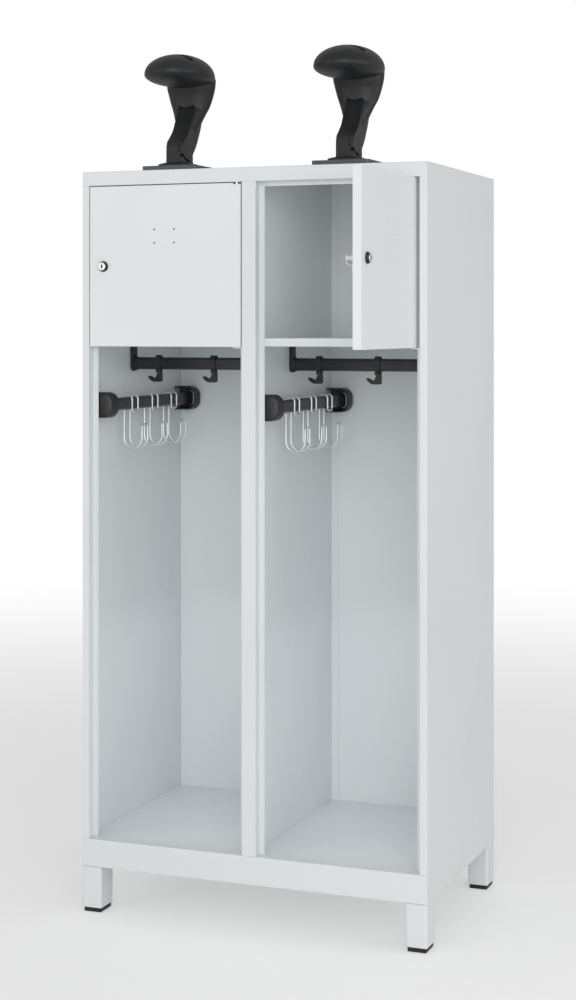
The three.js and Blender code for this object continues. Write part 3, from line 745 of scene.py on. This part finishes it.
# ------------------------------------------------------------------ helmet holders
# Heights above the plate; then half-width, front and back, all in millimetres.
FOOT = [(0, 43, -46, 34), (4.5, 43, -46, 34), (6, 42, -45, 33.5), (9, 33, -38, 31), (9.8, 30, -36, 29)]
LEG = [(2, 24, -34, 34), (14, 23.5, -32.4, 29), (30, 23.5, -32, 28), (45, 23.5, -32, 40), (60, 23.5, -28, 52),
       (75, 23.5, -12, 61), (90, 23.5, 4, 70), (116, 23.5, 20, 82), (140, 23.4, 34, 87), (161, 23, 47, 84)]
FLARE = [(80, 21, 14, 56), (90, 24, 14, 67), (101, 28, 17, 77), (116, 33.5, 21, 85), (137, 42, 30, 92),
         (158, 51.5, 39, 97), (182, 59, 36, 103), (210, 65, 28, 110), (226, 66, 27, 111)]
HEAD_CENTRE = (241, 83.5, 110.5, 53, 27)


def smooth_rows(rows, count):
    """More rows between those given, on a smooth curve through them."""
    def slope(i, k):
        if i == 0 or i == len(rows) - 1:
            a, b = max(i - 1, 0), min(i + 1, len(rows) - 1)
            return (rows[b][k] - rows[a][k]) / (rows[b][0] - rows[a][0])
        before = (rows[i][k] - rows[i - 1][k]) / (rows[i][0] - rows[i - 1][0])
        after = (rows[i + 1][k] - rows[i][k]) / (rows[i + 1][0] - rows[i][0])
        return 0.0 if before * after <= 0 else 2 * before * after / (before + after)

    result = []
    for n in range(count + 1):
        z = rows[0][0] + (rows[-1][0] - rows[0][0]) * n / count
        i = max(j for j in range(len(rows) - 1) if rows[j][0] <= z + 1e-9)
        span = rows[i + 1][0] - rows[i][0]
        s = (z - rows[i][0]) / span
        row = [z]
        for k in range(1, len(rows[0])):
            a, b = rows[i][k], rows[i + 1][k]
            ma, mb = slope(i, k) * span, slope(i + 1, k) * span
            row.append((2 * s ** 3 - 3 * s ** 2 + 1) * a + (s ** 3 - 2 * s ** 2 + s) * ma
                       + (3 * s ** 2 - 2 * s ** 3) * b + (s ** 3 - s ** 2) * mb)
        result.append(row)
    return result


def rounded_box_ring(half, front, back, radius, steps=5):
    points = []
    for cx, cy, start in ((half - radius, back - radius, 0), (-half + radius, back - radius, 90),
                          (-half + radius, front + radius, 180), (half - radius, front + radius, 270)):
        points += arc(cx, cy, radius, start, start + 90, steps)
    return points


def oval_ring(half, front, back, around=96):
    centre, reach = (front + back) / 2, (back - front) / 2
    return [(half * math.cos(2 * math.pi * i / around), centre + reach * math.sin(2 * math.pi * i / around))
            for i in range(around)]


def holder_loft(name, rows, outline):
    """Skins outlines, given by row in millimetres about the middle of the plate's top."""
    rings = [[(x * MM, y * MM, row[0] * MM) for x, y in outline(*row[1:])] for row in rows]
    return mesh_object(name, *skin(rings))


def leg_front(z):
    rows = smooth_rows(LEG, 160)
    return next(row[2] for row in rows if row[0] >= z - 1e-6)


def channel_cutter():
    half = 21.4
    rings = []
    for n in range(24):
        z = 71.3 + n * 4
        back = leg_front(min(z, 160.5)) + 0.8
        corners = ((-half, -90), (half, -90), (half, back), (-half, back))
        rings.append([(x * MM, y * MM, z * MM) for x, y in corners])
    cutter = mesh_object("channel", *skin(rings))
    dip, rise = 153.4, 160.2
    slope = (rise - dip) / half
    wide = 40
    wedge = [(-wide, 190), (-wide, dip + slope * wide), (0, dip), (wide, dip + slope * wide), (wide, 190)]
    roof = mesh_object("channel_roof", *skin([
        [(x * MM, y * MM, z * MM) for x, z in wedge] for y in (-110, 120)]))
    return combine(cutter, roof, "DIFFERENCE")


def groove_box(x0, x1, y0, y1, z0, z1):
    corners = [(x0, y0), (x1, y0), (x1, y1), (x0, y1)]
    return upright_prism("groove", corners, z0, z1)


def gap_cutter():
    """Curved gap behind the insert: down the side of the leg from its front edge to its foot."""
    outer, inner = [], []
    for n in range(19):
        a = math.radians(90 * n / 18)
        outer.append((8 - 47 * math.cos(a), 37 - 25 * math.sin(a)))
        inner.append((8 - 41 * math.cos(a), 37 - 19 * math.sin(a)))
    outline = outer + inner[::-1]
    return mesh_object("gap", *skin([[(x * MM, y * MM, z * MM) for y, z in outline] for x in (15, 40)]))


def holder_stem(name):
    def foot_outline(half, front, back):
        return rounded_box_ring(half, front, back, 12)

    def leg_outline(half, front, back):
        return rounded_box_ring(half, front, back, 1.8)

    foot = holder_loft("foot", FOOT, foot_outline)
    leg = holder_loft("leg", smooth_rows(LEG, 77), leg_outline)
    stem = holder_loft(name, smooth_rows(FLARE, 91), oval_ring)
    combine(stem, leg, "UNION")
    combine(stem, channel_cutter(), "DIFFERENCE")
    combine(stem, foot, "UNION")
    combine(stem, dome("seat", 1.006, 72, 36), "DIFFERENCE")
    combine(stem, groove_box(-11, 14, -30, -13.6, 68.4, 70.9), "DIFFERENCE")
    combine(stem, groove_box(10.6, 13.0, -40, -28, 36, 62), "DIFFERENCE")
    combine(stem, groove_box(10.6, 17, -40, -28.3, 34.6, 37), "DIFFERENCE")
    combine(stem, gap_cutter(), "DIFFERENCE")
    return stem


def dome(name, grow=1.0, around=128, rows=64):
    """Low oval dome whose rim and underside settle towards the back."""
    centre_z, half, reach, up, down = HEAD_CENTRE
    centre_z -= 12.3
    rings = []
    for r in range(1, rows):
        polar = math.pi * r / rows
        height, spread = math.cos(polar), math.sin(polar)
        ring = []
        for i in range(around):
            a = 2 * math.pi * i / around
            across, along = spread * math.cos(a), spread * math.sin(a)
            t = min(max((along + 0.1) / 1.1, 0), 1)
            back = t * t * (3 - 2 * t)
            rise = up + 6 * back if height > 0 else down - 10 * back
            z = centre_z - 6 * back + height * rise * grow ** 3
            ring.append((across * half * grow * MM, along * reach * grow * MM, z * MM))
        rings.append(ring)
    return mesh_object(name, *skin(rings))


def holder_head(name):
    head = dome(name)
    slot = upright_prism("slot", stadium(0, 0, 17, 50, steps=10), 238, 320)
    slot.matrix_world = Matrix.Translation((33 * MM, -46 * MM, 0)) @ Matrix.Rotation(math.radians(77), 4, "Z")
    floor = dome("slot_floor", 0.84, 48, 24)
    combine(slot, floor, "DIFFERENCE")
    combine(head, slot, "DIFFERENCE")
    outward = Vector((-0.62, -0.62, 0.30)).normalized()
    hole = upright_prism("hole", arc(0, 0, 3.6, 0, 345, 23), -14, 16)
    turn = outward.to_track_quat("Z", "Y").to_matrix().to_4x4()
    hole.matrix_world = Matrix.Translation((-59 * MM, -73 * MM, 237.5 * MM)) @ turn
    combine(head, hole, "DIFFERENCE")
    return head


def make_holders():
    for side in SIDES:
        plate = f"{side}_helmet_holder_plate"
        dress(nodes[plate], "dark_plate")
        ease_edges(nodes[plate], 0.8 * MM, segments=3)
        low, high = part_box(plate)
        origin = Matrix.Translation(((low.x + high.x) / 2, (low.y + high.y) / 2 - 4 * MM, high.z + 0.3 * MM))
        for part, make, width in (("stem", holder_stem, 0.5), ("head", holder_head, 0.7)):
            node = f"{side}_helmet_holder_{part}"
            piece = make(f"{node}_moulding")
            piece.data.transform(origin)
            ease_edges(piece, width * MM, segments=2, angle=32)
            place_piece(piece, [node], "carcass", "holder_plastic")


# ------------------------------------------------------------------ studio
def make_camera():
    """Level camera in front of the right bay; the lens is shifted down to keep verticals upright."""
    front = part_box("left_side_panel")[0].y
    data = bpy.data.cameras.new("camera")
    data.sensor_fit = "AUTO"
    data.sensor_width = 36.0
    data.lens = 67.91
    data.shift_y = -0.176
    camera = bpy.data.objects.new("camera", data)
    camera.location = (1.7434, front - 4.2177, 1.4697)
    camera.rotation_euler = (math.radians(90), 0, math.radians(21.26))
    bpy.context.scene.collection.objects.link(camera)
    bpy.context.scene.camera = camera


def make_floor():
    """Pale floor that fades into the backdrop a few metres out."""
    size = 9.0
    corners = [(-size, -size, 0), (size, -size, 0), (size, size, 0), (-size, size, 0)]
    floor = mesh_object("floor", corners, [(0, 1, 2, 3)])
    floor.location.z = -0.0005
    finish = Finish("floor")
    finish.colour((0.90, 0.90, 0.90), (0.93, 0.93, 0.93), 0.8)
    finish.roughness(0.75, 0.85, 4.0)
    tree = finish.tree
    distance = tree.nodes.new("ShaderNodeVectorMath")
    distance.operation = "LENGTH"
    fade = tree.nodes.new("ShaderNodeMapRange")
    fade.interpolation_type = "SMOOTHSTEP"
    fade.inputs["From Min"].default_value = 1.2
    fade.inputs["From Max"].default_value = 6.5
    fade.inputs["To Min"].default_value = 0.62
    fade.inputs["To Max"].default_value = 0.0
    tree.links.new(finish.place, distance.inputs[0])
    tree.links.new(distance.outputs["Value"], fade.inputs["Value"])
    tree.links.new(fade.outputs["Result"], finish.shader.inputs["Alpha"])
    floor.data.materials.append(finish.material)


def area_light(name, place, aim, size, power, spread=180):
    data = bpy.data.lights.new(name, "AREA")
    data.shape = "RECTANGLE"
    data.size, data.size_y = size
    data.energy = power
    data.spread = math.radians(spread)
    light = bpy.data.objects.new(name, data)
    light.location = place
    light.rotation_euler = (Vector(aim) - Vector(place)).to_track_quat("-Z", "Y").to_euler()
    light.visible_camera = False
    bpy.context.scene.collection.objects.link(light)


def make_surroundings():
    """White surroundings, brighter behind the object than the light that they cast on it."""
    world = bpy.data.worlds.new("studio")
    world.use_nodes = True
    tree = world.node_tree
    tree.nodes.clear()
    seen = tree.nodes.new("ShaderNodeBackground")
    seen.inputs["Color"].default_value = (1.0, 1.0, 1.0, 1.0)
    seen.inputs["Strength"].default_value = 1.0
    cast = tree.nodes.new("ShaderNodeBackground")
    cast.inputs["Color"].default_value = (1.0, 1.0, 1.0, 1.0)
    cast.inputs["Strength"].default_value = 0.48
    path = tree.nodes.new("ShaderNodeLightPath")
    mix = tree.nodes.new("ShaderNodeMixShader")
    out = tree.nodes.new("ShaderNodeOutputWorld")
    tree.links.new(path.outputs["Is Camera Ray"], mix.inputs["Fac"])
    tree.links.new(cast.outputs["Background"], mix.inputs[1])
    tree.links.new(seen.outputs["Background"], mix.inputs[2])
    tree.links.new(mix.outputs["Shader"], out.inputs["Surface"])
    bpy.context.scene.world = world


def make_lights():
    make_surroundings()
    area_light("front", (2.8, -6.2, 2.5), (0, 0, 0.9), (6.0, 4.0), 235)
    area_light("right", (5.6, -0.6, 1.9), (0.4, 0.1, 1.0), (3.4, 3.2), 74)
    area_light("left", (-4.2, -4.6, 2.4), (0, 0, 0.9), (3.0, 3.0), 48)
    for side in SIDES:
        low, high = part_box(f"{side}_shelf")
        floor_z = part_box("base_tray")[1].z
        roof_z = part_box("roof_panel")[0].z
        middle = (low.x + high.x) / 2
        for z0, z1, power in ((floor_z, low.z, 0.44), (high.z, roof_z, 0.24)):
            z = (z0 + z1) / 2
            area_light("opening", (middle, low.y - 10 * MM, z), (middle, high.y, z),
                       (0.36, (z1 - z0) * 0.92), power)
        depth = (low.y + high.y) / 2
        area_light("bay_floor", (middle, depth, floor_z + 0.6), (middle, depth, floor_z),
                   (0.34, 0.46), 0.21, spread=120)
    scene = bpy.context.scene
    scene.view_settings.view_transform = "Standard"
    scene.view_settings.look = "None"


make_camera()
make_floor()
make_lights()
finish_sheet_metal()
make_tubes()
make_rail_brackets()
make_clips()
make_cups()
make_wire_hooks()
make_locks()
finish_hardware()
make_holders()
